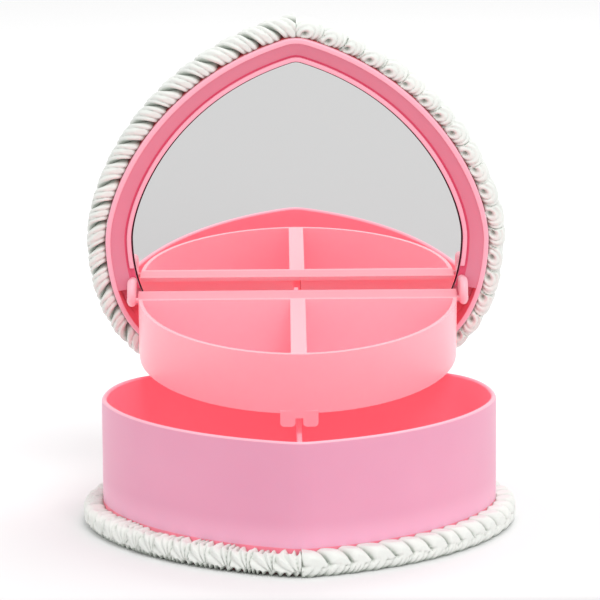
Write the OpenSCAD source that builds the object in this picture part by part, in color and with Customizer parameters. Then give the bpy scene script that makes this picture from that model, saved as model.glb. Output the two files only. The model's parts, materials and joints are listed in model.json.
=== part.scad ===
// Heart-shaped jewellery box that looks like an iced cake: tub, mirror lid and a tray that swings up
// as the lid opens. Millimetres, +Z up, origin on the table under the widest line of the heart, front
// tip towards -Y. The parts are drawn with the lid open, which is the rest position.

/* [Heart outline] */
// Width of the heart across its widest line
body_w = 150; // [144:1:156]
// From the widest line forward to the front tip
front_len = 81.7; // [80:0.1:86]
// From the widest line back to the tops of the two lobes
back_len = 47; // [46:0.5:50]
// Depth of the dip between the lobes
notch_depth = 14; // [10:1:15]

/* [Base] */
// Height of the base's rim above the table
base_h = 48.5; // [47:0.5:54]
// Thickness of the base and lid walls
wall = 2; // [1.6:0.1:2.4]
// Thickness of the base's floor
floor_t = 2; // [1.5:0.5:3]
// Thickness of the centre divider
divider_t = 2; // [1.6:0.1:2.2]
// How far the divider's top lies below the rim
divider_drop = 11.6; // [11.4:0.1:14]

/* [Lid] */
// Angle that the lid has opened through at rest, in degrees
lid_open = 81.5; // [70:0.5:84]
// Height of the lid's side wall, with its top plate
lid_h = 12.7; // [12.2:0.1:13.2]
// Thickness of the lid's top plate
lid_top_t = 2; // [1.5:0.1:2.4]
// Distance from the lid's outline in to the mirror
mirror_inset = 10; // [9.6:0.1:10.6]
// Thickness of the mirror
mirror_t = 1.5; // [1.2:0.1:1.8]

/* [Tray] */
// Half of the tray's width, at its straight back
tray_half_w = 62.25; // [61:0.25:62.5]
// Depth of the tray from back to front
tray_len = 65.8; // [62:0.1:67]
// Height of the tray
tray_h = 23.8; // [20:0.1:24]
// Thickness of the tray's walls
tray_wall = 1.5; // [1.2:0.1:1.8]
// Forward tilt of the tray when the lid is open, in degrees
tray_tilt = 9.85; // [8:0.05:11]
// Width of the back flange and of the hollow centre rib
rib_w = 5.9; // [5.6:0.1:6.6]
// How far the back flange stands out behind the tray's back wall
flange_over = 4.5; // [3:0.1:5]

/* [Cream borders] */
// Height of the border round the foot
foot_cream_h = 9.3; // [8:0.1:10]
// How far the borders stand out from the walls
cream_out = 8; // [7:0.1:8.4]
// Number of shells in each half of the foot border
foot_shells = 28; // [22:1:32]
// Number of waves in each half of the lid border
lid_waves = 26; // [22:1:30]

/* [Hidden] */

// Colours
pink = [0.93, 0.64, 0.75];
deep_pink = [0.98, 0.56, 0.62];
pale_pink = [0.99, 0.78, 0.82];
cream_white = [0.95, 0.95, 0.93];
steel = [0.75, 0.76, 0.78];

// Heart outline
half_w = body_w / 2;
tip_r = 16;            // the front tip is rounded to this radius
tip_angle = 18;        // turn of that round on each side of the middle
tip_pull = 55;         // reach of the front curve's first handle
side_pull = 18;        // reach of the handles along the side
lobe_x = 41;           // the lobes' tops, and the middle of each hinge
lobe_pull = 27.7;
dip_pull = 14;
notch_pull = 10.6;
tip_steps = 3;
front_steps = 13;
lobe_steps = 12;
dip_steps = 8;

// Hinges
hinge_y = 54;
hinge_drop = 2.4;      // axis below the base's rim
hinge_z = base_h - hinge_drop;
barrel_r = 3.2;
hinge_pin_r = 1.25;
ear_bore_r = 1.27;
knuckle_bore_r = 1.32;
knuckle_w = 9.2;
ear_w = 3;
ear_gap = 0.4;         // between an ear and the knuckle
ear_reach = 12;        // height of an ear's foot on the wall

// Lid, all drawn closed on the base and then opened about the hinge axis
lid_gap = 0.3;         // between the two rims when closed
lid_z = base_h + lid_gap;
lid_inside_z = lid_z + lid_h - lid_top_t;
mirror_z = base_h + 5.5;
adhesive_t = 0.4;
band_z = base_h + 1;   // outer edge of the sloped band
band_in_z = base_h + 4.4;
band_inset = 8.2;      // where the slope ends
band_end_y = 20;       // straight lower end of the band
lip_h = 1.1;
lip_end_y = 11.5;
plate_end_y = 28;
mirror_end_y = 26;
skirt_t = 1.4;
slip = 0.1;            // assembly gap between fixed pieces

// Tray pivot, in the tray's own frame: back edge at y = 0, rim at z = 0
pin_fwd = 3;
pin_down = 1.1;
tray_back_y = 44.1;    // back edge of the tray's rim at rest
tray_back_z = base_h + 31.4;
tray_pin_r = 1;
tray_bore_r = 1.04;
pin_y = tray_back_y - pin_fwd * cos(tray_tilt) + pin_down * sin(tray_tilt);
pin_z = tray_back_z - pin_fwd * sin(tray_tilt) - pin_down * cos(tray_tilt);
// The same axis with the lid closed
closed_pin_y = hinge_y + (pin_y - hinge_y) * cos(lid_open) - (pin_z - hinge_z) * sin(lid_open);
closed_pin_z = hinge_z + (pin_y - hinge_y) * sin(lid_open) + (pin_z - hinge_z) * cos(lid_open);
arm_t = 3.2;
arm_gap = 0.85;        // between the tray and an arm
arm_r = 5.5;
arm_shift = 3.2;       // the arm's middle lies this far forward of the pin
neck_w = 6.4;          // the neck that joins an arm to the mirror frame
neck_shift = 1.1;      // the neck's middle lies this far behind the arm's middle
pin_depth = 4;         // length of a tray pin inside the tray

// Tray details
tray_tip_pull = 30;    // handles of the curve from the tray's front to its back corner
tray_side_pull = 40.2;
rib_gap = 2.9;         // hollow inside the centre rib and the back wall
flange_t = 2;
fork_w = 14.4;
fork_reach = 5.4;
bridge_h = 2;
prong_r = 1.6;
tray_steps = 18;
boss_w = 6;            // solid ends of the back wall, for the pins
relief_w = 34;         // the back wall's skirt is cut short here, to pass the dip in the base
relief_h = 4;

// Divider ramp: it keeps clear of the fork's bridge as the tray comes down
divider_top = base_h - divider_drop;
ramp_top_y = -27;
ramp_foot_y = -37.2;
ramp_foot_z = 12;
divider_clear = 0.4;   // between the divider's front edge and the wall

// Cream borders
foot_cap = 3.8;
lid_cream_z = base_h + 1.5;
lid_cream_h = 11.9;
lid_cap = 3;
hinge_room = 2.8;      // height above the base's rim that the lid's border leaves free at the hinges
bead_r = 4.2;
bead_tip_r = 2.2;
band_t = 3.6;
strand_gap = 0.15;

function bez(p0, p1, p2, p3, t) =
    pow(1 - t, 3) * p0 + 3 * pow(1 - t, 2) * t * p1 + 3 * (1 - t) * t * t * p2 + pow(t, 3) * p3;

// Right half of the heart, from the front tip round to the middle of the dip
function tip_at(a) = [tip_r * sin(a), -front_len + tip_r * (1 - cos(a))];
tip = tip_at(tip_angle);
side = [half_w, 0];
lobe = [lobe_x, back_len];
dip = [0, back_len - notch_depth];
half_heart = concat(
    [for (i = [0:tip_steps - 1]) tip_at(tip_angle * i / tip_steps)],
    [for (i = [0:front_steps - 1])
        bez(tip, tip + tip_pull * [cos(tip_angle), sin(tip_angle)], side - [0, side_pull], side,
            i / front_steps)],
    [for (i = [0:lobe_steps - 1])
        bez(side, side + [0, side_pull], lobe + [lobe_pull, 0], lobe, i / lobe_steps)],
    [for (i = [0:dip_steps])
        bez(lobe, lobe - [dip_pull, 0], dip + [notch_pull, 0], dip, i / dip_steps)]
);

// Unit vector into the heart at point i of the half outline
function inward(p, i) =
    let (d = p[min(i + 1, len(p) - 1)] - p[max(i - 1, 0)])
    [-d[1], d[0]] / norm(d);

// Half outline moved inward by d, or outward when d is negative
function half_inset(d) =
    let (n = len(half_heart) - 1)
    concat(
        [[0, -front_len + d]],
        [for (i = [1:n - 1])
            let (q = half_heart[i] + d * inward(half_heart, i))
            if (q[0] > 0.3) q],
        [[0, dip[1] - d]]
    );

// Closed outline moved inward by d
function heart(d) =
    let (h = half_inset(d), n = len(h))
    concat(h, [for (i = [n - 2:-1:1]) [-h[i][0], h[i][1]]]);

// Half of the tray's rim, moved inward by d
function tray_half(d) =
    let (w = tray_half_w - d, l = tray_len - d)
    [for (i = [0:tray_steps])
        bez([0, -l], [tray_tip_pull * w / tray_half_w, -l],
            [w, -tray_side_pull * l / tray_len], [w, 0], i / tray_steps)];

function tray_outline(d) =
    let (h = tray_half(d), n = len(h))
    concat(h, [for (i = [n - 1:-1:1]) [-h[i][0], h[i][1]]]);

// Distance along a path at each of its points
function run_lengths(p) =
    [for (i = 0, s = 0; i < len(p); s = s + (i < len(p) - 1 ? norm(p[i + 1] - p[i]) : 0), i = i + 1) s];

function at_length(p, run, s) = [
    lookup(s, [for (i = [0:len(p) - 1]) [run[i], p[i][0]]]),
    lookup(s, [for (i = [0:len(p) - 1]) [run[i], p[i][1]]])
];

// Turns children drawn closed on the base into the open rest position
module opened_lid() {
    translate([0, hinge_y, hinge_z])
        rotate([-lid_open, 0, 0])
            translate([0, -hinge_y, -hinge_z])
                children();
}

// Places children drawn level, back edge at y = 0 and rim at z = 0, at the tray's rest position
module tilted_tray() {
    translate([0, pin_y, pin_z])
        rotate([tray_tilt, 0, 0])
            translate([0, pin_fwd, pin_down])
                children();
}

// Extrudes a shape drawn in the Y-Z plane, w wide and centred on x
module across(x, w) {
    translate([x - w / 2, 0, 0])
        rotate([90, 0, 90])
            linear_extrude(w)
                children();
}

module hinge_ear(x) {
    across(x, ear_w)
        union() {
            translate([hinge_y, hinge_z])
                circle(barrel_r, $fn = 48);
            polygon([
                [back_len - wall * 0.6, base_h - 0.6],
                [back_len - wall * 0.6, base_h - ear_reach],
                [hinge_y + barrel_r * 0.7, hinge_z - barrel_r * 0.7],
                [hinge_y, base_h - 0.6]
            ]);
        }
}

module base_shell() {
    ear_x = (knuckle_w + ear_w) / 2 + ear_gap;
    color(pink)
        difference() {
            union() {
                linear_extrude(base_h)
                    polygon(heart(0));
                for (s = [-1, 1], e = [-1, 1])
                    hinge_ear(s * lobe_x + e * ear_x);
            }
            translate([0, 0, floor_t])
                linear_extrude(base_h)
                    polygon(heart(wall));
            translate([-body_w / 2, hinge_y, hinge_z])
                rotate([0, 90, 0])
                    cylinder(h = body_w, r = ear_bore_r, $fn = 48);
        }
}

module base_divider() {
    front_y = -front_len + wall + divider_clear;
    back_y = dip[1] - wall - slip;
    ramp = [for (i = [0:8])
        bez([ramp_foot_y, ramp_foot_z], [ramp_foot_y, ramp_foot_z + 16],
            [ramp_top_y - 4, divider_top], [ramp_top_y, divider_top], i / 8)];
    color(deep_pink)
        across(0, divider_t)
            polygon(concat(
                [[back_y, floor_t], [front_y, floor_t], [front_y, ramp_foot_z]],
                ramp,
                [[back_y, divider_top]]
            ));
}

// One half of a border: a band on the wall with a row of beads on it
module cream_strand(z, h, cap, count) {
    path = half_inset(-cream_out + bead_r);
    run = run_lengths(path);
    step = run[len(run) - 1] / count;
    start = 0.5;
    color(cream_white)
        intersection() {
            translate([strand_gap, -body_w, z])
                cube([body_w, 2 * body_w, h]);
            difference() {
                union() {
                    translate([0, 0, z + cap * 0.4])
                        linear_extrude(h - cap * 0.8)
                            polygon(heart(-band_t));
                    for (i = [0:count - 1]) {
                        p = at_length(path, run, (i + start) * step);
                        translate([p[0], p[1], z])
                            bead(h, cap);
                    }
                }
                translate([0, 0, z - 1])
                    linear_extrude(h + 2)
                        polygon(heart(-slip / 2));
            }
        }
}

module bead(h, cap) {
    low = cap * 0.4;
    rotate_extrude($fn = 20)
        polygon([[0, 0], [bead_r - 0.6, 0], [bead_r, low], [bead_r, h - cap], [bead_tip_r, h], [0, h]]);
}

module base_cream_right() {
    cream_strand(0, foot_cream_h, foot_cap, foot_shells);
}

module base_cream_left() {
    mirror([1, 0, 0])
        cream_strand(0, foot_cream_h, foot_cap, foot_shells);
}

module hinge_pin(x) {
    len = knuckle_w + 2 * ear_w + 2 * ear_gap + 0.6;
    color(steel)
        translate([x - len / 2, hinge_y, hinge_z])
            rotate([0, 90, 0])
                cylinder(h = len, r = hinge_pin_r, $fn = 48);
}

module hinge_pin_left() {
    hinge_pin(-lobe_x);
}

module hinge_pin_right() {
    hinge_pin(lobe_x);
}

module lid_knuckle(x) {
    arm_z = lid_z + 2.1;
    across(x, knuckle_w)
        union() {
            translate([hinge_y, hinge_z])
                circle(barrel_r, $fn = 48);
            polygon([
                [back_len - wall * 0.6, lid_z],
                [back_len - wall * 0.6, arm_z],
                [hinge_y + 1.2, arm_z],
                [hinge_y + barrel_r * 0.98, hinge_z + barrel_r * 0.2],
                [hinge_y, hinge_z],
                [hinge_y - barrel_r * 0.7, hinge_z + barrel_r * 0.7]
            ]);
        }
}

module lid_shell() {
    color(pink)
        opened_lid()
            difference() {
                union() {
                    translate([0, 0, lid_z])
                        linear_extrude(lid_h)
                            polygon(heart(0));
                    for (s = [-1, 1])
                        lid_knuckle(s * lobe_x);
                }
                translate([0, 0, lid_z - 1])
                    linear_extrude(lid_inside_z - lid_z + 1)
                        polygon(heart(wall));
                translate([-body_w / 2, hinge_y, hinge_z])
                    rotate([0, 90, 0])
                        cylinder(h = body_w, r = knuckle_bore_r, $fn = 48);
            }
}

// Right half of the lid's border, drawn closed, with room for the hinge
module lid_strand() {
    room_w = knuckle_w + 2 * (ear_w + ear_gap + 0.6);
    difference() {
        cream_strand(lid_cream_z, lid_cream_h, lid_cap, lid_waves);
        translate([lobe_x - room_w / 2, back_len - 1, base_h])
            cube([room_w, 2 * cream_out, hinge_room]);
    }
}

module lid_cream_right() {
    opened_lid()
        lid_strand();
}

module lid_cream_left() {
    opened_lid()
        mirror([1, 0, 0])
            lid_strand();
}

// Ring of walls between two insets, from z up by h, kept in front of the line y = end_y
module heart_ring(outer, inner, z, h, end_y) {
    intersection() {
        translate([0, 0, z])
            linear_extrude(h)
                difference() {
                    polygon(heart(outer));
                    polygon(heart(inner));
                }
        translate([-body_w, -body_w, z - 1])
            cube([2 * body_w, body_w + end_y, h + 2]);
    }
}

// Front part of the heart, from z up by h, kept in front of the line y = end_y
module heart_plate(inset, z, h, end_y) {
    intersection() {
        translate([0, 0, z])
            linear_extrude(h)
                polygon(heart(inset));
        translate([-body_w, -body_w, z - 1])
            cube([2 * body_w, body_w + end_y, h + 2]);
    }
}

// The slope between the rim and the mirror, as a fan of level steps
module sloped_band() {
    steps = 6;
    outer = wall + slip;
    for (i = [0:steps - 1]) {
        inner_d = outer + (band_inset - outer) * (i + 1) / steps;
        step_z = band_z + (band_in_z - band_z) * (i + 0.5) / steps;
        outer_d = outer + (band_inset - outer) * i / steps;
        heart_ring(outer_d, inner_d, step_z, mirror_z + mirror_t - step_z, band_end_y);
    }
}

module mirror_frame() {
    plate_z = mirror_z + mirror_t + adhesive_t;
    edge = wall + slip;
    color(pale_pink)
        opened_lid()
            union() {
                sloped_band();
                heart_ring(band_inset, mirror_inset - slip, band_in_z, plate_z - band_in_z, band_end_y);
                heart_ring(band_inset, mirror_inset - slip, band_in_z - lip_h, lip_h, lip_end_y);
                heart_ring(edge, band_inset, mirror_z + mirror_t, adhesive_t, band_end_y);
                heart_plate(edge, plate_z, mirror_t, plate_end_y);
                heart_ring(edge, edge + skirt_t, plate_z + mirror_t,
                           lid_inside_z - plate_z - mirror_t, plate_end_y);
            }
}

module mirror_adhesive() {
    color(cream_white)
        opened_lid()
            heart_plate(mirror_inset + 2, mirror_z + mirror_t, adhesive_t, mirror_end_y - 2);
}

// The looking glass; its name avoids the built-in mirror() transform
module looking_glass() {
    color([0.8, 0.83, 0.85])
        opened_lid()
            heart_plate(mirror_inset, mirror_z, mirror_t, mirror_end_y);
}

// Lug on the mirror frame that carries one back corner of the tray: a thick disc on a narrower neck
module tray_arm(s) {
    x = s * (tray_half_w + arm_gap + arm_t / 2);
    mid_y = closed_pin_y - arm_shift;
    color(pale_pink)
        opened_lid()
            difference() {
                across(x, arm_t)
                    union() {
                        translate([mid_y, closed_pin_z])
                            circle(arm_r, $fn = 48);
                        translate([mid_y + neck_shift - neck_w / 2, closed_pin_z])
                            square([neck_w, band_in_z - closed_pin_z]);
                    }
                sloped_band();
                translate([x - arm_t, closed_pin_y, closed_pin_z])
                    rotate([0, 90, 0])
                        cylinder(h = 2 * arm_t, r = tray_bore_r, $fn = 48);
            }
}

module tray_arm_left() {
    tray_arm(-1);
}

module tray_arm_right() {
    tray_arm(1);
}

// Moulded pin from inside the tray's back flange out through one arm
module tray_pin(s) {
    inner_x = tray_half_w - pin_depth;
    outer_x = tray_half_w + arm_gap + arm_t + 0.3;
    color(pale_pink)
        translate([s > 0 ? inner_x : -outer_x, pin_y, pin_z])
            rotate([0, 90, 0])
                cylinder(h = outer_x - inner_x, r = tray_pin_r, $fn = 48);
}

module tray_pin_left() {
    tray_pin(-1);
}

module tray_pin_right() {
    tray_pin(1);
}

// Box between two corners
module tray_block(x0, x1, y0, y1, z0, z1) {
    translate([x0, y0, z0])
        cube([x1 - x0, y1 - y0, z1 - z0]);
}

// Tongue under the tray's front wall, slotted to straddle the divider
module fork() {
    half = fork_w / 2;
    gap = rib_gap / 2;
    low = -tray_h - fork_reach;
    translate([0, -tray_len + tray_wall + 0.02, 0])
        rotate([90, 0, 0])
            linear_extrude(tray_wall)
                for (s = [-1, 1])
                    scale([s, 1])
                        union() {
                            translate([gap, low + prong_r])
                                square([half - gap, fork_reach - prong_r + 1]);
                            translate([gap + prong_r, low])
                                square([half - gap - 2 * prong_r, fork_reach]);
                            for (x = [gap + prong_r, half - prong_r])
                                translate([x, low + prong_r])
                                    circle(prong_r, $fn = 32);
                            translate([0, -tray_h - bridge_h])
                                square([half - prong_r, bridge_h + 1]);
                        }
}

module tray() {
    gap = rib_gap / 2;
    rib = rib_w / 2;
    inner_front = -tray_len + tray_wall;
    color(deep_pink)
        difference() {
            tilted_tray()
                union() {
                    difference() {
                        translate([0, 0, -tray_h])
                            linear_extrude(tray_h)
                                polygon(tray_outline(0));
                        // the two compartments
                        for (s = [-1, 1])
                            intersection() {
                                translate([0, 0, -tray_h + tray_wall])
                                    linear_extrude(tray_h)
                                        polygon(tray_outline(tray_wall));
                                tray_block(s > 0 ? rib : -tray_half_w, s > 0 ? tray_half_w : -rib,
                                           -tray_len, -rib_w, -tray_h, 1);
                            }
                        // hollow under the centre rib, open at the back
                        tray_block(-gap, gap, inner_front, 1, -tray_h - 1, -flange_t);
                        // hollow under the back flange, closed at its two ends by the pin bosses
                        tray_block(-tray_half_w + boss_w, tray_half_w - boss_w,
                                   -rib_w + tray_wall, -tray_wall, -tray_h - 1, -flange_t);
                        // relief in the skirt behind it
                        tray_block(-relief_w / 2, relief_w / 2,
                                   -rib_w + tray_wall, 1, -tray_h - 1, -tray_h + relief_h);
                    }
                    fork();
                    // the back flange stands out behind the back wall
                    tray_block(-tray_half_w, tray_half_w, -tray_wall, flange_over, -tray_wall, 0);
                }
            translate([-body_w / 2, pin_y, pin_z])
                rotate([0, 90, 0])
                    cylinder(h = body_w / 2 - tray_half_w + pin_depth + 0.2, r = tray_bore_r, $fn = 48);
            translate([tray_half_w - pin_depth - 0.2, pin_y, pin_z])
                rotate([0, 90, 0])
                    cylinder(h = body_w / 2, r = tray_bore_r, $fn = 48);
        }
}

base_shell();
base_divider();
base_cream_left();
base_cream_right();
hinge_pin_left();
hinge_pin_right();
lid_shell();
lid_cream_left();
lid_cream_right();
mirror_frame();
mirror_adhesive();
looking_glass();  // mirror
tray_arm_left();
tray_arm_right();
tray_pin_left();
tray_pin_right();
tray();
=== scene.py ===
"""Looks of the heart-shaped cake jewellery box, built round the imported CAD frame. Metres, +Z up."""

import json
import math

import bmesh
import bpy
import numpy as np
from mathutils import Matrix, Vector


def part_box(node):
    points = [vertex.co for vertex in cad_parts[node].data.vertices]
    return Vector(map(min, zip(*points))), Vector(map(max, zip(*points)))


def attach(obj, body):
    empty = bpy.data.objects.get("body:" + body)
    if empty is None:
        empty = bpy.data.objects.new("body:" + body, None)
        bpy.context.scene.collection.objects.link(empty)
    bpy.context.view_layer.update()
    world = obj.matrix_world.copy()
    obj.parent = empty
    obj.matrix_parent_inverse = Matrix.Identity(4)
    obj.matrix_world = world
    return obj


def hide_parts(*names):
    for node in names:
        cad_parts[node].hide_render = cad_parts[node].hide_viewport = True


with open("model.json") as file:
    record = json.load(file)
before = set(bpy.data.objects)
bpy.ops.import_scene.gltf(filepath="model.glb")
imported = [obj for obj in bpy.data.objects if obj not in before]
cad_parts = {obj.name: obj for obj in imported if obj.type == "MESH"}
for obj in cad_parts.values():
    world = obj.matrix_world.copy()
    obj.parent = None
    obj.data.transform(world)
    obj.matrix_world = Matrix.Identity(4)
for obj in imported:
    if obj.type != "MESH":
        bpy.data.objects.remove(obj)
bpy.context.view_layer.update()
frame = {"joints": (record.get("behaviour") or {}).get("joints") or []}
MM = 0.001

# ---------------------------------------------------------------- sizes, in millimetres
JOINTS = {j["name"]: j for j in frame["joints"]}
HINGE_Y, HINGE_Z = (v / MM for v in JOINTS["lid_hinge"]["pos_m"][1:])
LID_OPEN = math.radians(JOINTS["lid_hinge"]["range_deg"][1])
base_low, base_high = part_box("base_shell")
HALF_W = base_high.x / MM
FRONT = -base_low.y / MM
HINGE_DROP = 2.4                    # hinge axis below the base's rim
RIM = HINGE_Z + HINGE_DROP          # height of the base's rim
WALL = 2.0
FLOOR_T = 2.0
BACK = 47.0                         # from the widest line to the tops of the lobes
NOTCH = 14.0                        # depth of the dip
LOBE_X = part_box("hinge_pin_right")
LOBE_X = (LOBE_X[0].x + LOBE_X[1].x) / 2 / MM
LID_GAP = 0.3
LID_H = 12.7
LID_TOP_T = 2.0
MIRROR_INSET = 10.0
MIRROR_Z = RIM + 5.5
LID_CEILING = RIM + LID_GAP + LID_H - LID_TOP_T
TRAY_TILT = math.radians(9.85)      # the open tray leans forward by this


# ---------------------------------------------------------------- curves and meshes
def bez(p0, p1, p2, p3, n, last=False):
    """n points and unit tangents along a cubic curve, with its end point only if last."""
    t = np.linspace(0, 1, n, endpoint=last)[:, None]
    p0, p1, p2, p3 = (np.array(p, float) for p in (p0, p1, p2, p3))
    point = (1 - t) ** 3 * p0 + 3 * (1 - t) ** 2 * t * p1 + 3 * (1 - t) * t * t * p2 + t ** 3 * p3
    slope = 3 * (1 - t) ** 2 * (p1 - p0) + 6 * (1 - t) * t * (p2 - p1) + 3 * t * t * (p3 - p2)
    return point, slope / np.linalg.norm(slope, axis=1)[:, None]


def half_heart():
    """Right half of the outline from the front tip to the dip: points and unit tangents."""
    angle = math.radians(18)
    tip_r, tip_pull, side_pull, lobe_pull, dip_pull, notch_pull = 16, 55, 18, 27.7, 14, 10.6
    a = np.linspace(0, angle, 6, endpoint=False)
    tip = np.stack([tip_r * np.sin(a), -FRONT + tip_r * (1 - np.cos(a))], 1)
    tip_slope = np.stack([np.cos(a), np.sin(a)], 1)
    start = np.array([tip_r * math.sin(angle), -FRONT + tip_r * (1 - math.cos(angle))])
    way = np.array([math.cos(angle), math.sin(angle)])
    side, lobe, dip = np.array([HALF_W, 0]), np.array([LOBE_X, BACK]), np.array([0, BACK - NOTCH])
    parts = [
        (tip, tip_slope),
        bez(start, start + tip_pull * way, side - [0, side_pull], side, 60),
        bez(side, side + [0, side_pull], lobe + [lobe_pull, 0], lobe, 44),
        bez(lobe, lobe - [dip_pull, 0], dip + [notch_pull, 0], dip, 34, last=True),
    ]
    return np.vstack([p[0] for p in parts]), np.vstack([p[1] for p in parts])


HALF_POINTS, HALF_SLOPES = half_heart()
HALF_NORMALS = np.stack([-HALF_SLOPES[:, 1], HALF_SLOPES[:, 0]], 1)


def heart(inset):
    """Closed outline, from the front tip round by the right, moved inward by inset."""
    right = HALF_POINTS + inset * HALF_NORMALS
    left = right[-2:0:-1] * [-1, 1]
    return np.vstack([right, left])


def resample(line, count):
    """The polyline at count points, evenly spaced along it."""
    run = np.concatenate([[0], np.cumsum(np.linalg.norm(np.diff(line, axis=0), axis=1))])
    s = np.linspace(0, run[-1], count)
    return np.stack([np.interp(s, run, line[:, 0]), np.interp(s, run, line[:, 1])], 1)


def front_heart(inset, end_y, count=121):
    """Outline in front of the line y = end_y, from its left end round the tip to its right end."""
    right = HALF_POINTS + inset * HALF_NORMALS
    last = int(np.argmax(right[:, 1] > end_y))
    a, b = right[last - 1], right[last]
    end = a + (b - a) * (end_y - a[1]) / (b[1] - a[1])
    right = np.vstack([right[:last], end])
    whole = np.vstack([right[::-1] * [-1, 1], right[1:]])
    return resample(whole, count)


def fillet(points, radii, steps=5, closed=False):
    """A polyline with its corners rounded to the given radii."""
    out = []
    n = len(points)
    for i, (p, r) in enumerate(zip(points, radii)):
        p = np.array(p, float)
        if r <= 0 or (not closed and i in (0, n - 1)):
            out.append(p)
            continue
        a = np.array(points[i - 1], float) - p
        b = np.array(points[(i + 1) % n], float) - p
        a, b = a / np.linalg.norm(a), b / np.linalg.norm(b)
        half = math.acos(max(-1, min(1, a @ b))) / 2
        middle = (a + b) / np.linalg.norm(a + b)
        centre = p + middle * r / math.sin(half)
        start, end = p + a * r / math.tan(half) - centre, p + b * r / math.tan(half) - centre
        turn = math.acos(max(-1, min(1, (start @ end) / r / r)))
        for k in range(steps + 1):
            t = k / steps
            w0, w1 = math.sin((1 - t) * turn) / math.sin(turn), math.sin(t * turn) / math.sin(turn)
            out.append(centre + w0 * start + w1 * end)
    return out


def mesh_object(name, verts, faces, smooth_angle=35):
    """A new object from verts in millimetres."""
    mesh = bpy.data.meshes.new(name)
    mesh.from_pydata([tuple(float(c) * MM for c in v) for v in verts], [], faces)
    bm = bmesh.new()
    bm.from_mesh(mesh)
    bmesh.ops.recalc_face_normals(bm, faces=bm.faces)
    bm.to_mesh(mesh)
    bm.free()
    mesh.shade_smooth()
    mesh.set_sharp_from_angle(angle=math.radians(smooth_angle))
    obj = bpy.data.objects.new(name, mesh)
    bpy.context.scene.collection.objects.link(obj)
    return obj


def bridge(rings):
    """Faces between closed rings of equally many points, capped at both ends; returns (verts, faces)."""
    n = len(rings[0])
    verts = [p for ring in rings for p in ring]
    faces = []
    for r in range(len(rings) - 1):
        a, b = r * n, (r + 1) * n
        for i in range(n):
            j = (i + 1) % n
            faces.append((a + i, a + j, b + j, b + i))
    faces.append(tuple(range(n - 1, -1, -1)))
    faces.append(tuple((len(rings) - 1) * n + i for i in range(n)))
    return verts, faces


def heart_shell(profile):
    """Rings of the whole heart for a profile of (inset, z), with both ends capped."""
    return bridge([np.column_stack([heart(d), np.full(len(heart(d)), z)]) for d, z in profile])


def heart_plate(levels, count=121):
    """A plate in front of a straight line, from levels of (inset, z, end_y)."""
    rings = []
    for inset, z, end_y in levels:
        line = front_heart(inset, end_y, count)
        rings.append(np.column_stack([line, np.full(len(line), z)]))
    return bridge(rings)


def heart_rail(profile, end_y, count=141):
    """A closed profile of (inset, z) swept along the front part of the heart, with end caps."""
    lines = [np.column_stack([front_heart(d, end_y, count), np.full(count, z)]) for d, z in profile]
    rings = [[line[i] for line in lines] for i in range(count)]
    return bridge(rings)


OPEN_TURN = Matrix.Rotation(-LID_OPEN, 3, "X")
HINGE = Vector((0, HINGE_Y, HINGE_Z))


# ---------------------------------------------------------------- materials
def srgb(r, g, b):
    """A colour given from 0 to 255, as the linear values that shaders take."""
    return [((c / 255 + 0.055) / 1.055) ** 2.4 if c > 10 else c / 255 / 12.92 for c in (r, g, b)] + [1]


def plastic(name, colour, deeper, rough=0.34, glow=0.0, warm=0.0, blend=None):
    """Moulded plastic: faint cloudiness in its colour, orange peel and uneven gloss. glow is its
    subsurface weight. warm is a weak red emission, in place of light that soaks through thin walls.
    blend is (axis, from, to, colour), with the colour past to."""
    m = bpy.data.materials.new(name)
    m.use_nodes = True
    nodes, links = m.node_tree.nodes, m.node_tree.links
    shader = nodes["Principled BSDF"]
    place = nodes.new("ShaderNodeTexCoord")
    cloud = nodes.new("ShaderNodeTexNoise")
    cloud.inputs["Scale"].default_value = 22
    cloud.inputs["Detail"].default_value = 3
    links.new(place.outputs["Object"], cloud.inputs["Vector"])
    ramp = nodes.new("ShaderNodeValToRGB")
    ramp.color_ramp.elements[0].position, ramp.color_ramp.elements[1].position = 0.3, 0.7
    ramp.color_ramp.elements[0].color, ramp.color_ramp.elements[1].color = srgb(*deeper), srgb(*colour)
    links.new(cloud.outputs["Fac"], ramp.inputs["Fac"])
    links.new(ramp.outputs["Color"], shader.inputs["Base Color"])
    if blend:
        axis, start, end, other = blend
        split = nodes.new("ShaderNodeSeparateXYZ")
        links.new(place.outputs["Object"], split.inputs["Vector"])
        fade = nodes.new("ShaderNodeMapRange")
        fade.interpolation_type = "SMOOTHSTEP"
        fade.inputs["From Min"].default_value = start
        fade.inputs["From Max"].default_value = end
        links.new(split.outputs[axis], fade.inputs["Value"])
        mix = nodes.new("ShaderNodeMix")
        mix.data_type = "RGBA"
        mix.inputs["B"].default_value = srgb(*other)
        links.new(fade.outputs["Result"], mix.inputs["Factor"])
        links.new(ramp.outputs["Color"], mix.inputs["A"])
        links.new(mix.outputs["Result"], shader.inputs["Base Color"])
    peel = nodes.new("ShaderNodeTexNoise")
    peel.inputs["Scale"].default_value = 900
    peel.inputs["Detail"].default_value = 2
    links.new(place.outputs["Object"], peel.inputs["Vector"])
    lump = nodes.new("ShaderNodeBump")
    lump.inputs["Strength"].default_value = 0.03
    lump.inputs["Distance"].default_value = 0.0002
    links.new(peel.outputs["Fac"], lump.inputs["Height"])
    links.new(lump.outputs["Normal"], shader.inputs["Normal"])
    gloss = nodes.new("ShaderNodeMapRange")
    gloss.inputs["To Min"].default_value = rough - 0.05
    gloss.inputs["To Max"].default_value = rough + 0.07
    links.new(cloud.outputs["Fac"], gloss.inputs["Value"])
    links.new(gloss.outputs["Result"], shader.inputs["Roughness"])
    shader.inputs["IOR"].default_value = 1.49
    shader.inputs["Subsurface Weight"].default_value = glow
    shader.inputs["Subsurface Radius"].default_value = (0.004, 0.0012, 0.0016)
    shader.inputs["Emission Color"].default_value = (1, 0.2, 0.25, 1)
    shader.inputs["Emission Strength"].default_value = warm
    return m


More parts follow.
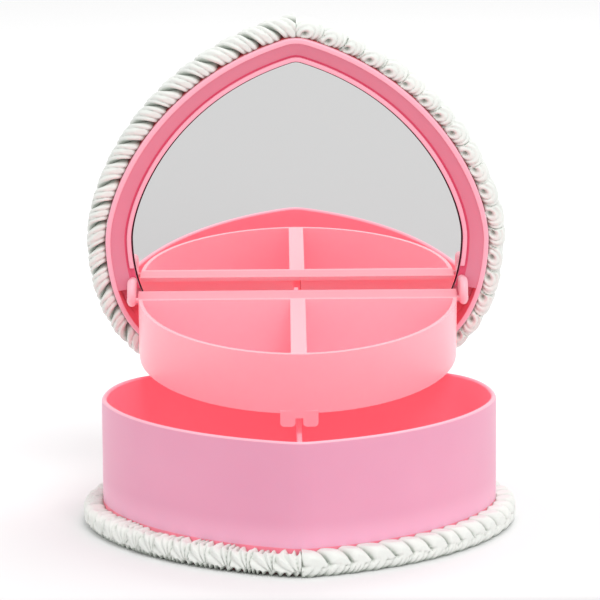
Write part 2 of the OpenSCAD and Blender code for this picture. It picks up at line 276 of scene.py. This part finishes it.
def cream_paste(name, colour, hollow, groove_shade):
    """Hardened piping paste: fine grain and a soft sheen, with painted shade in its hollows, where an
    occlusion test turns it towards a darker grey.
    """
    m = bpy.data.materials.new(name)
    m.use_nodes = True
    nodes, links = m.node_tree.nodes, m.node_tree.links
    shader = nodes["Principled BSDF"]
    place = nodes.new("ShaderNodeTexCoord")
    blot = nodes.new("ShaderNodeTexNoise")
    blot.inputs["Scale"].default_value = 60
    blot.inputs["Detail"].default_value = 4
    links.new(place.outputs["Object"], blot.inputs["Vector"])
    ramp = nodes.new("ShaderNodeValToRGB")
    ramp.color_ramp.elements[0].position, ramp.color_ramp.elements[1].position = 0.35, 0.65
    ramp.color_ramp.elements[0].color, ramp.color_ramp.elements[1].color = srgb(*hollow), srgb(*colour)
    links.new(blot.outputs["Fac"], ramp.inputs["Fac"])
    # Painted shade: hollows found by the occlusion test are darkened.
    nook = nodes.new("ShaderNodeAmbientOcclusion")
    nook.samples = 8
    nook.inputs["Distance"].default_value = 0.0022
    open_air = nodes.new("ShaderNodeMapRange")
    open_air.inputs["From Min"].default_value = 0.35
    open_air.inputs["From Max"].default_value = 0.75
    links.new(nook.outputs["AO"], open_air.inputs["Value"])
    mix = nodes.new("ShaderNodeMix")
    mix.data_type = "RGBA"
    mix.inputs["A"].default_value = srgb(*groove_shade)
    links.new(open_air.outputs["Result"], mix.inputs["Factor"])
    links.new(ramp.outputs["Color"], mix.inputs["B"])
    links.new(mix.outputs["Result"], shader.inputs["Base Color"])
    grain = nodes.new("ShaderNodeTexNoise")
    grain.inputs["Scale"].default_value = 1400
    grain.inputs["Detail"].default_value = 3
    links.new(place.outputs["Object"], grain.inputs["Vector"])
    lump = nodes.new("ShaderNodeBump")
    lump.inputs["Strength"].default_value = 0.12
    lump.inputs["Distance"].default_value = 0.0003
    links.new(grain.outputs["Fac"], lump.inputs["Height"])
    links.new(lump.outputs["Normal"], shader.inputs["Normal"])
    gloss = nodes.new("ShaderNodeMapRange")
    gloss.inputs["To Min"].default_value = 0.38
    gloss.inputs["To Max"].default_value = 0.55
    links.new(blot.outputs["Fac"], gloss.inputs["Value"])
    links.new(gloss.outputs["Result"], shader.inputs["Roughness"])
    shader.inputs["Subsurface Weight"].default_value = 0.04
    shader.inputs["Subsurface Radius"].default_value = (0.0015, 0.0013, 0.0012)
    return m


def silvered(name, tint):
    """Looking glass: a very smooth metal with the faintest haze."""
    m = bpy.data.materials.new(name)
    m.use_nodes = True
    nodes, links = m.node_tree.nodes, m.node_tree.links
    shader = nodes["Principled BSDF"]
    place = nodes.new("ShaderNodeTexCoord")
    haze = nodes.new("ShaderNodeTexNoise")
    haze.inputs["Scale"].default_value = 12
    links.new(place.outputs["Object"], haze.inputs["Vector"])
    spread = nodes.new("ShaderNodeMapRange")
    spread.inputs["To Min"].default_value = 0.005
    spread.inputs["To Max"].default_value = 0.02
    links.new(haze.outputs["Fac"], spread.inputs["Value"])
    links.new(spread.outputs["Result"], shader.inputs["Roughness"])
    shader.inputs["Base Color"].default_value = srgb(*tint)
    shader.inputs["Metallic"].default_value = 1
    return m


def steel(name):
    """Drawn wire, with fine rings along it."""
    m = bpy.data.materials.new(name)
    m.use_nodes = True
    nodes, links = m.node_tree.nodes, m.node_tree.links
    shader = nodes["Principled BSDF"]
    place = nodes.new("ShaderNodeTexCoord")
    rings = nodes.new("ShaderNodeTexNoise")
    rings.inputs["Scale"].default_value = 2500
    links.new(place.outputs["Object"], rings.inputs["Vector"])
    spread = nodes.new("ShaderNodeMapRange")
    spread.inputs["To Min"].default_value = 0.22
    spread.inputs["To Max"].default_value = 0.4
    links.new(rings.outputs["Fac"], spread.inputs["Value"])
    links.new(spread.outputs["Result"], shader.inputs["Roughness"])
    shader.inputs["Base Color"].default_value = (0.6, 0.6, 0.62, 1)
    shader.inputs["Metallic"].default_value = 1
    return m


# Painted bounced light: the outside turns a lighter pink below 20 mm, fully so below 8 mm, for light
# thrown up from the piped cream.
OUTSIDE = plastic("outside_pink", (235, 160, 187), (231, 155, 183), glow=0.2,
                  blend=("Z", 0.02, 0.008, (250, 180, 207)))
# Painted shade: the inside of the tub is the same plastic painted a deeper, redder pink, with a weak
# glow, for the reddened light bouncing round within it.
INSIDE_SHADE = plastic("inside_shade", (255, 138, 154), (252, 132, 150), glow=0.2, warm=0.25)
TRAY_PINK = plastic("tray_pink", (255, 179, 189), (253, 174, 185), glow=0.35, warm=0.28)
# Painted highlight: the tray's pink made lighter, for its rims and edges that face up into the light;
# past y = 39 to 40 mm, on the back flange, it turns a darker pink.
TRAY_RIM = plastic("tray_rim", (255, 194, 204), (253, 190, 200), glow=0.2, warm=0.04,
                   blend=("Y", 0.0388, 0.0402, (252, 160, 174)))
# Painted shade: a deep red, with a weak glow, inside the hollow of the tray's centre rib.
TRAY_HOLLOW_SHADE = plastic("tray_hollow_shade", (216, 62, 66), (210, 56, 62), warm=0.15)
BAND_PINK = plastic("band_pink", (226, 144, 164), (222, 139, 160), glow=0.1)
# Painted shade: a deep pink strip in the sloped band's inner corner, at the foot of the raised lip.
BAND_CORNER_SHADE = plastic("band_corner_shade", (228, 92, 124), (222, 86, 118))
# Painted highlight: the same pink made lighter, for rims and edges that face up into the light.
RIM_HIGHLIGHT = plastic("rim_highlight", (250, 184, 200), (247, 178, 195))
LUG_PINK = plastic("lug_pink", (253, 190, 200), (250, 184, 196))
# Painted shade: a deep red, with a weak glow, on the inner wall of the lid.
LID_HOLLOW_SHADE = plastic("lid_hollow_shade", (236, 92, 114), (230, 86, 108), warm=0.1)
# Painted shade: a deeper pink, with a weak glow, on the base's wall behind its piped border.
FOOT_WALL_SHADE = plastic("foot_wall_shade", (252, 140, 162), (248, 134, 158), glow=0.2, warm=0.12)
# Painted shade: a deep red, with a weak glow, on the lid's outer wall behind its piped border, where it
# shows through gaps in the cream.
LID_WALL_SHADE = plastic("lid_wall_shade", (232, 92, 98), (226, 86, 94), warm=0.04)
# the last colour is the painted shade in the cream's hollows
CREAM = cream_paste("piped_cream", (235, 237, 232), (228, 231, 226), (190, 196, 188))
MIRROR = silvered("silvered_glass", (250, 250, 250))
# Painted reflection: a dark red-brown for the glass's bevel and edges, for the dark that the cut edge of
# a glass shows.
MIRROR_EDGE = plastic("mirror_edge", (66, 24, 38), (60, 20, 34), rough=0.3)
TAPE = plastic("foam_tape", (226, 224, 214), (220, 218, 208), rough=0.7)
STEEL = steel("drawn_steel")


def paint(obj, *materials):
    obj.data.materials.clear()
    for m in materials:
        obj.data.materials.append(m)
    return obj


def paint_faces(obj, index, test):
    """Gives the faces whose centre, in millimetres, passes test the material at index."""
    for face in obj.data.polygons:
        if test(face.center / MM, face.normal):
            face.material_index = index


# ---------------------------------------------------------------- the base
def make_base():
    foot_z = 9.3                    # below this the outer wall, behind the piped border, is painted a deeper pink: painted shade
    profile = fillet(
        [(9, 0), (0, 0), (0, foot_z), (0, RIM), (WALL, RIM), (WALL, FLOOR_T), (9, FLOOR_T)],
        [0, 0.8, 0, 0.95, 0.95, 2.5, 0],
    )
    obj = mesh_object("base_tub", *heart_shell(profile))
    paint(obj, OUTSIDE, INSIDE_SHADE, RIM_HIGHLIGHT, FOOT_WALL_SHADE)
    # the inner faces get the painted shade
    paint_faces(obj, 1, lambda c, n: is_inside(c, WALL * 0.7) and 0.5 < c.z < RIM - 0.2)
    # the rim's top gets the painted highlight
    paint_faces(obj, 2, lambda c, n: c.z > RIM - 0.6)
    # the wall behind the piped border gets the painted shade
    paint_faces(obj, 3, lambda c, n: 0.5 < c.z < foot_z and not is_inside(c, WALL * 0.7))
    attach(obj, "base")
    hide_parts("base_shell")


INNER_LOOPS = {}


def is_inside(c, inset):
    """True if the point lies further in than the outline moved inward by inset."""
    if inset not in INNER_LOOPS:
        INNER_LOOPS[inset] = heart(inset)
    loop = INNER_LOOPS[inset]
    x0, y0 = loop[:, 0], loop[:, 1]
    x1, y1 = np.roll(x0, -1), np.roll(y0, -1)
    cross = (y0 > c.y) != (y1 > c.y)
    at = (x1 - x0) * (c.y - y0) / np.where(y1 == y0, 1, y1 - y0) + x0
    return bool(np.count_nonzero(cross & (c.x < at)) % 2)


def ride_lid(obj, replaces):
    """Turns a piece drawn closed to where the open lid holds it, and attaches it."""
    for v in obj.data.vertices:
        v.co = (HINGE + OPEN_TURN @ (v.co / MM - HINGE)) * MM
    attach(obj, "lid")
    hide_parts(replaces)


def make_lid():
    low = RIM + LID_GAP
    top = low + LID_H
    cream_low, cream_high = low + 1.8, top - 2
    profile = fillet(
        [(9, LID_CEILING), (WALL, LID_CEILING), (WALL, low), (0, low),
         (0, cream_low), (0, cream_high), (0, top), (9, top)],
        [0, 1.2, 0.35, 0.6, 0, 0, 1.8, 0],
    )
    obj = mesh_object("lid_tub", *heart_shell(profile))
    paint(obj, OUTSIDE, LID_HOLLOW_SHADE, RIM_HIGHLIGHT, LID_WALL_SHADE)
    # the lid's wall behind the cream gets the painted shade
    paint_faces(obj, 3, lambda c, n: cream_low < c.z < cream_high and not is_inside(c, WALL * 0.6))
    # the lid's inner wall gets the painted shade
    paint_faces(obj, 1, lambda c, n: low + 1.0 < c.z < top - 1.5 and is_inside(c, WALL * 0.6))
    # the lid's rim band gets the painted highlight
    paint_faces(obj, 2, lambda c, n: c.z < cream_low)
    ride_lid(obj, "lid_shell")


def make_frame():
    """The carrier of the mirror: sloped band, raised lip, backing plate and skirt."""
    edge = WALL + 0.1
    back = MIRROR_Z + 1.9
    band_in = 8.2
    hole = MIRROR_INSET - 0.1
    band = fillet(
        [(edge - 0.25, RIM + 0.7), (band_in - 0.9, RIM + 3.9), (band_in, RIM + 4.4),
         (hole, RIM + 4.4), (hole, back), (edge, back)],
        [0.2, 0, 0.15, 0.3, 0, 0], steps=3, closed=True,
    )
    obj = mesh_object("frame_band", *heart_rail(band, 20))
    paint(obj, BAND_PINK, BAND_CORNER_SHADE)
    # the band's inner corner gets the painted shade
    paint_faces(obj, 1, lambda c, n: is_inside(c, band_in - 0.85) and c.z < RIM + 4.6)
    ride_lid(obj, "mirror_frame")
    lip = fillet(
        [(band_in, RIM + 4.5), (band_in, RIM + 3.3), (hole, RIM + 3.3), (hole, RIM + 4.5)],
        [0, 0.45, 0.35, 0], steps=4, closed=True,
    )
    obj = mesh_object("frame_lip", *heart_rail(lip, 11.5))
    # the raised lip gets the painted highlight
    paint(obj, RIM_HIGHLIGHT)
    ride_lid(obj, "mirror_frame")
    plate_end = 28                  # straight lower end of the backing plate and skirt
    plate = [(edge + 0.3, back, plate_end), (edge, back + 0.3, plate_end),
             (edge, back + 1.2, plate_end), (edge + 0.3, back + 1.5, plate_end)]
    obj = mesh_object("frame_plate", *heart_plate(plate))
    paint(obj, BAND_PINK)
    ride_lid(obj, "mirror_frame")
    skirt_low, skirt_t = back + 1.4, 1.4
    skirt = [(edge, skirt_low), (edge, LID_CEILING),
             (edge + skirt_t, LID_CEILING), (edge + skirt_t, skirt_low)]
    obj = mesh_object("frame_skirt", *heart_rail(skirt, plate_end))
    paint(obj, BAND_PINK)
    ride_lid(obj, "mirror_frame")


def make_mirror():
    """The glass, with a narrow ground bevel round its face; the bevel, edges and back are painted dark, a
    painted reflection of the dark that a glass's cut edge shows.
    """
    glass_end = 26
    levels = [
        (MIRROR_INSET + 0.6, MIRROR_Z, glass_end - 0.5),
        (MIRROR_INSET, MIRROR_Z + 0.25, glass_end),
        (MIRROR_INSET, MIRROR_Z + 1.5, glass_end),
    ]
    obj = mesh_object("mirror_glass", *heart_plate(levels, 181), smooth_angle=5)
    paint(obj, MIRROR, MIRROR_EDGE)
    # the bevel, edges and back get the painted dark edge
    paint_faces(obj, 1, lambda c, n: c.z > MIRROR_Z + 0.05)
    ride_lid(obj, "mirror")


def prism(name, outline, x0, x1, soft=0.4):
    """A block with the given outline in the Y-Z plane, its edges rounded."""
    bm = bmesh.new()
    near = [bm.verts.new((x0, y, z)) for y, z in outline]
    face = bm.faces.new(near)
    grown = bmesh.ops.extrude_face_region(bm, geom=[face])
    far = [v for v in grown["geom"] if isinstance(v, bmesh.types.BMVert)]
    bmesh.ops.translate(bm, vec=(x1 - x0, 0, 0), verts=far)
    bmesh.ops.recalc_face_normals(bm, faces=bm.faces)
    sharp = [e for e in bm.edges if len(e.link_faces) == 2 and e.calc_face_angle() > 0.6]
    bmesh.ops.bevel(bm, geom=sharp, offset=soft, segments=3, affect="EDGES", profile=0.5)
    verts = [tuple(v.co) for v in bm.verts]
    bm.verts.index_update()
    faces = [tuple(v.index for v in f.verts) for f in bm.faces]
    bm.free()
    return mesh_object(name, verts, faces)


def arc(centre, radius, start, end, steps=22):
    """Points in the Y-Z plane between two angles in degrees, counted from +Y towards +Z."""
    angles = np.radians(np.linspace(start, end, steps))
    return [(centre[0] + radius * math.cos(a), centre[1] + radius * math.sin(a)) for a in angles]


def make_hinges():
    ear_x, ear_w, knuckle_w = 6.5, 3.0, 9.2
    root = BACK - 1.2
    hub, barrel = (HINGE_Y, HINGE_Z), 3.2
    ear = [(root, RIM - 0.6), (root, RIM - 12)] + arc(hub, barrel, -45, 90)
    low = RIM + LID_GAP
    knuckle = [(root, low + 2.1), (root, low)] + arc(hub, barrel, 135, 370) + [(HINGE_Y + 1.2, low + 2.1)]
    for side, label in ((-1, "left"), (1, "right")):
        for end, where in ((-1, "inner"), (1, "outer")):
            middle = side * LOBE_X + side * end * ear_x
            obj = prism(f"hinge_ear_{label}_{where}", ear, middle - ear_w / 2, middle + ear_w / 2)
            paint(obj, OUTSIDE)
            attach(obj, "base")
            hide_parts("base_shell")
        middle = side * LOBE_X
        obj = prism(f"hinge_knuckle_{label}", knuckle, middle - knuckle_w / 2, middle + knuckle_w / 2)
        paint(obj, OUTSIDE)
        ride_lid(obj, "lid_shell")


def make_lugs():
    """The two lugs on the mirror frame that carry the tray: a thick disc on a narrower neck."""
    pivot = Vector(JOINTS["tray_pivot"]["pos_m"]) / MM
    closed = HINGE + OPEN_TURN.transposed() @ (pivot - HINGE)
    radius, back, front = 5.5, 4.3, -2.1        # the disc, and the neck's two sides
    middle = (closed.y - 3.2, closed.z)
    turn_back = math.degrees(math.acos(back / radius))
    turn_front = math.degrees(math.acos(front / radius)) - 360
    top = RIM + 4.2
    neck = [(middle[0] + front, top), (middle[0] + back, top)]
    outline = neck + arc(middle, radius, turn_back, turn_front, 48)
    for side, label in ((-1, "left"), (1, "right")):
        low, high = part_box(f"tray_arm_{label}")
        obj = prism(f"lug_{label}", outline, low.x / MM + 0.01, high.x / MM - 0.01, soft=1.5)
        paint(obj, LUG_PINK)
        ride_lid(obj, f"tray_arm_{label}")


# ---------------------------------------------------------------- piped cream
RUN = np.concatenate([[0], np.cumsum(np.linalg.norm(np.diff(HALF_POINTS, axis=0), axis=1))])
HALF_RUN = RUN[-1]
LID_ROPE_OUT, LID_ROPE_HALF = 2.8, 5.1       # middle of the lid's rope off its wall, and half its depth
PHI = np.linspace(-math.pi, math.pi, 60, endpoint=False)    # round the rope; 0 faces outward


def on_border(s, n, z, side):
    """World points at arc lengths s from the tip along one half, n outward, at heights z."""
    x = np.interp(s, RUN, HALF_POINTS[:, 0]) - n * np.interp(s, RUN, HALF_NORMALS[:, 0])
    y = np.interp(s, RUN, HALF_POINTS[:, 1]) - n * np.interp(s, RUN, HALF_NORMALS[:, 1])
    return np.stack([side * np.maximum(x, 0.02), y, z], -1)


def rope(name, side, shape, middle, half_size, low, high):
    """A piped rope along one half of the outline. shape(s, phi) gives its swelling round
    the middle (n, z); low and high are its limits in n and z."""
    s, phi = np.meshgrid(np.linspace(0, HALF_RUN, int(HALF_RUN / 0.3)), PHI, indexing="ij")
    swell = shape(s, phi)
    n = np.clip(middle[0] + half_size[0] * swell * np.cos(phi), low[0], high[0])
    z = np.clip(middle[1] + half_size[1] * swell * np.sin(phi), low[1], high[1])
    obj = mesh_object(name, *bridge(list(on_border(s, n, z, side))), smooth_angle=70)
    return paint(obj, CREAM)


def groove(x, width):
    """1 in the middle of a groove, falling to 0 away from it."""
    return np.exp(-(x / width) ** 2)


def humps(turn):
    """Rounded ridges with sharp valleys between them, one for each unit of turn: 0 to 1."""
    return np.abs(np.sin(math.pi * turn)) ** 0.8


def uneven(s, size):
    """Slow drift along the border, as a hand-held nozzle leaves it."""
    return size * (np.sin(s * 0.11) + 0.7 * np.sin(s * 0.29 + 1) + 0.4 * np.sin(s * 0.61 + 2))


def lid_waves(pitch):
    """Slanted lobes, each a bunch of ridges that hooks over at its ends."""
    def shape(s, phi):
        turn = phi + math.pi / 2
        lobe = s / pitch + uneven(s, 0.05) + (-1.5 * turn + 1.5 * np.cos(turn)) / (2 * math.pi)
        part = lobe - np.floor(lobe)
        crease = groove(np.minimum(part, 1 - part), 0.09)
        ridge = humps(lobe * 3 + 0.08 * np.sin(np.floor(lobe) * 2.7))
        return 1.08 - 0.7 * (part - 0.42) ** 2 - 0.4 * crease - 0.17 * (1 - ridge)
    return shape


def lid_curls(pitch):
    """Overlapping curls, each ridged in rings round a small hole near the lid's wall."""
    hole_n = 1.7
    def shape(s, phi):
        n = LID_ROPE_OUT + LID_ROPE_HALF * np.cos(phi)
        swell = np.full(s.shape, 0.7)
        taken = np.zeros(s.shape, bool)
        for i in range(int(round(HALF_RUN / pitch)) + 1):
            start = (i + 0.35) * pitch + 0.6 * math.sin(i * 2.3)
            along = (s - start) - 0.35 * (n - hole_n)
            reach = np.hypot(along * (0.98 + 0.06 * math.sin(i * 1.1)), (n - hole_n) * 0.86)
            size = 6.1 + 0.4 * math.sin(i * 1.7)
            here = (reach < size) & ~taken
            dome = 0.7 + 0.35 * np.sqrt(np.clip(1 - (reach / size) ** 2, 0, 1))
            rings = 0.14 * (1 - humps(reach / 2 + 0.5))
            hole = 0.5 * groove(reach, 0.8)
            swell = np.where(here, dome - rings - hole, swell)
            taken |= here
        return swell
    return shape


def points(turn):
    """Sharp-topped ridges, one for each unit of turn: 0 to 1."""
    return 1 - np.abs(2 * (turn - np.floor(turn)) - 1)


def foot_spikes(pitch):
    """Star shells: ridges fan out from each tail and end in points against the wall."""
    def shape(s, phi):
        lobe = s / pitch + uneven(s, 0.05)
        whole = np.floor(lobe)
        part = lobe - whole
        height = (phi + 0.75) / 2.5
        fan = np.arctan2(height + 0.02, part - 0.1 + 0.08 * np.sin(whole * 2.1))
        ridge = points(fan / math.pi * 7 + 0.2 * np.sin(whole * 3.3))
        high = np.clip((phi - 0.9) / 0.5, 0, 1)
        foot = np.clip((-0.35 - phi) / 0.4, 0, 1)
        tips = points(lobe * 3 + 0.4 * np.sin(lobe * 4.1) + 0.25 * np.sin(lobe * 1.7))
        body = 0.72 + 0.12 * np.sin(math.pi * part) + 0.34 * ridge
        top = 0.42 + (0.62 + 0.14 * np.sin(whole * 5.1)) * tips
        low = 0.7 + 0.36 * points(lobe * 3.5 + 0.5 * phi + 0.4 * np.sin(lobe * 3.1))
        return (body * (1 - high) + top * high) * (1 - foot) + low * foot
    return shape


def foot_puffs(pitch):
    """Shells that are smooth and full above, with a thin crest and a ruffle below it."""
    def shape(s, phi):
        lobe = s / pitch + uneven(s, 0.07) + (1.2 * phi - 0.5 * np.cos(phi)) / (2 * math.pi)
        whole = np.floor(lobe)
        part = lobe - whole
        crease = groove(np.minimum(part, 1 - part), 0.07)
        low = np.clip((0.05 + 0.1 * np.sin(whole * 2.9) - phi) / 0.3, 0, 1)
        puff = 1.12 + 0.05 * np.sin(whole * 4.7) - 0.26 * crease - 1.7 * (part - 0.47) ** 2
        crest = 0.09 * groove(phi - 0.08 - 0.12 * np.sin(2 * math.pi * part), 0.08)
        trench = 0.12 * groove(phi + 0.12 - 0.12 * np.sin(2 * math.pi * part), 0.12)
        fold = s / pitch + uneven(s, 0.07) - 1.6 * phi / (2 * math.pi)
        ruffle = 0.78 + 0.2 * humps(fold * 3.5 + 0.3 * np.sin(fold * 2.6))
        ruffle = ruffle + 0.12 * np.sin(math.pi * (fold - np.floor(fold)))
        return puff * (1 - low) + ruffle * low + crest - trench
    return shape


def make_lid_cream():
    pitch = HALF_RUN / 26
    middle, half_size = (LID_ROPE_OUT, RIM + 7.5), (LID_ROPE_HALF, 6)
    low, high = (0.1, RIM + 1.6), (7.5, RIM + 13.3)
    obj = rope("lid_waves_left", -1, lid_waves(pitch), middle, half_size, low, high)
    ride_lid(obj, "lid_cream_left")
    obj = rope("lid_curls_right", 1, lid_curls(pitch), middle, half_size, low, high)
    ride_lid(obj, "lid_cream_right")


def make_foot_cream():
    pitch = HALF_RUN / 28
    middle, half_size, low, high = (2.7, 4.6), (4.9, 4.9), (0.1, 0.02), (7.5, 9.25)
    for side, label, shape in ((-1, "left", foot_spikes(pitch)), (1, "right", foot_puffs(pitch))):
        obj = rope(f"foot_shells_{label}", side, shape, middle, half_size, low, high)
        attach(obj, "base")
        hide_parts(f"base_cream_{label}")


# ---------------------------------------------------------------- pieces kept from the CAD
def soften(name, material, width):
    """Rounds the edges of a CAD node by width, in millimetres, and paints it."""
    obj = bpy.data.objects[name]
    obj.data.shade_smooth()
    weld = obj.modifiers.new("weld", "WELD")
    weld.merge_threshold = 0.00001
    flat = obj.modifiers.new("flat", "DECIMATE")
    flat.decimate_type = "DISSOLVE"
    flat.angle_limit = math.radians(0.5)
    if width:
        bevel = obj.modifiers.new("round", "BEVEL")
        bevel.width = width * MM
        bevel.segments = 3
        bevel.limit_method = "ANGLE"
        bevel.angle_limit = math.radians(32)
    even = obj.modifiers.new("even", "WEIGHTED_NORMAL")
    even.keep_sharp = True
    paint(obj, material)
    return obj


def paint_tray(obj):
    """Painted highlight on the tray's rims, and painted shade, a deeper red, inside the hollow of its
    centre rib.
    """
    paint(obj, TRAY_PINK, TRAY_RIM, TRAY_HOLLOW_SHADE)
    pivot_y, pivot_z = (v / MM for v in JOINTS["tray_pivot"]["pos_m"][1:])
    pin_down = 1.1                  # the pins lie this far below the tray's rim
    for face in obj.data.polygons:
        c = face.center / MM
        up = -(c.y - pivot_y) * math.sin(TRAY_TILT) + (c.z - pivot_z) * math.cos(TRAY_TILT) - pin_down
        # faces level with the rim get the painted highlight
        if abs(up) < 0.06:
            face.material_index = 1
        # faces inside the rib's hollow get the painted shade
        elif abs(c.x) < 1.6 and up < -1.9 and c.y > -15:
            face.material_index = 2


make_base()
make_lid()
make_frame()
make_mirror()
make_hinges()
make_lugs()
make_lid_cream()
make_foot_cream()
divider = paint(soften("base_divider", TRAY_PINK, 0.5), TRAY_PINK, TRAY_RIM)
# faces turned towards the front get the light rim colour: a painted highlight
paint_faces(divider, 1, lambda c, n: n.y < -0.3)
paint_tray(soften("tray", TRAY_PINK, 0.4))
for side in ("left", "right"):
    soften(f"tray_pin_{side}", LUG_PINK, 0.15)
    soften(f"hinge_pin_{side}", STEEL, 0.2)
soften("mirror_adhesive", TAPE, 0)


# ---------------------------------------------------------------- stage, lights and camera
def make_floor():
    """White sweep with a pale grey stretch in front of the box, where the mirror looks: painted shade for
    the darker side in front of the box, which the mirror reflects.
    """
    mesh = bpy.data.meshes.new("floor")
    size = 3
    corners = [(-size, -size, 0), (size, -size, 0), (size, size, 0), (-size, size, 0)]
    mesh.from_pydata(corners, [], [(0, 1, 2, 3)])
    floor = bpy.data.objects.new("floor", mesh)
    bpy.context.scene.collection.objects.link(floor)
    m = bpy.data.materials.new("floor_white")
    m.use_nodes = True
    nodes, links = m.node_tree.nodes, m.node_tree.links
    shader = nodes["Principled BSDF"]
    place = nodes.new("ShaderNodeTexCoord")
    split = nodes.new("ShaderNodeSeparateXYZ")
    start, end = -1.0, 0.4
    spread = nodes.new("ShaderNodeMapRange")
    spread.inputs["From Min"].default_value = start
    spread.inputs["From Max"].default_value = end
    ramp = nodes.new("ShaderNodeValToRGB")
    tones = ramp.color_ramp.elements
    # the 0.53 stretch in front of the box is painted shade
    greys = ((start, 0.98), (-0.46, 0.53), (-0.13, 0.53), (-0.112, 0.84), (0.12, 0.84), (0.33, 0.98))
    while len(tones) < len(greys):
        tones.new(1)
    for tone, (y, grey) in zip(tones, greys):
        tone.position = (y - start) / (end - start)
        tone.color = (grey, grey, grey, 1)
    links.new(place.outputs["Object"], split.inputs["Vector"])
    links.new(split.outputs["Y"], spread.inputs["Value"])
    links.new(spread.outputs["Result"], ramp.inputs["Fac"])
    links.new(ramp.outputs["Color"], shader.inputs["Base Color"])
    shader.inputs["Roughness"].default_value = 0.9
    shader.inputs["Specular IOR Level"].default_value = 0.1
    mesh.materials.append(m)


def area_light(name, place, target, size, power):
    data = bpy.data.lights.new(name, "AREA")
    data.shape = "DISK"
    data.size = size
    data.energy = power
    light = bpy.data.objects.new(name, data)
    light.location = place
    light.rotation_mode = "QUATERNION"
    light.rotation_quaternion = (Vector(place) - Vector(target)).to_track_quat("Z", "Y")
    bpy.context.scene.collection.objects.link(light)


def make_studio():
    world = bpy.data.worlds.new("studio")
    world.use_nodes = True
    world.node_tree.nodes["Background"].inputs["Color"].default_value = (1, 1, 1, 1)
    world.node_tree.nodes["Background"].inputs["Strength"].default_value = 0.92
    bpy.context.scene.world = world
    area_light("key", (0.35, -1.0, 1.3), (0, 0, 0.06), 0.8, 8)
    area_light("back", (0.3, 1.0, 1.3), (0, 0.02, 0.08), 0.9, 6)


def make_camera():
    """The photo's view, as fitted to its outlines: the camera's place in millimetres, and its turns."""
    eye = Vector((-8.01, -1340.95, 330.2)) * MM
    pitch, yaw, roll = math.radians(10.34), math.radians(0.37), math.radians(0.4)
    ahead = Vector((math.sin(yaw) * math.cos(pitch), math.cos(yaw) * math.cos(pitch), -math.sin(pitch)))
    level = Vector((math.cos(yaw), -math.sin(yaw), 0))
    upright = level.cross(ahead)
    right = level * math.cos(roll) - upright * math.sin(roll)
    up = level * math.sin(roll) + upright * math.cos(roll)
    data = bpy.data.cameras.new("camera")
    data.lens = 216
    data.sensor_width = 36
    data.clip_end = 20
    camera = bpy.data.objects.new("camera", data)
    turn = Matrix((right, up, -ahead)).transposed().to_4x4()
    camera.matrix_world = Matrix.Translation(eye) @ turn
    bpy.context.scene.collection.objects.link(camera)
    bpy.context.scene.camera = camera


make_floor()
make_studio()
make_camera()

bpy.context.scene.view_settings.view_transform = "Standard"
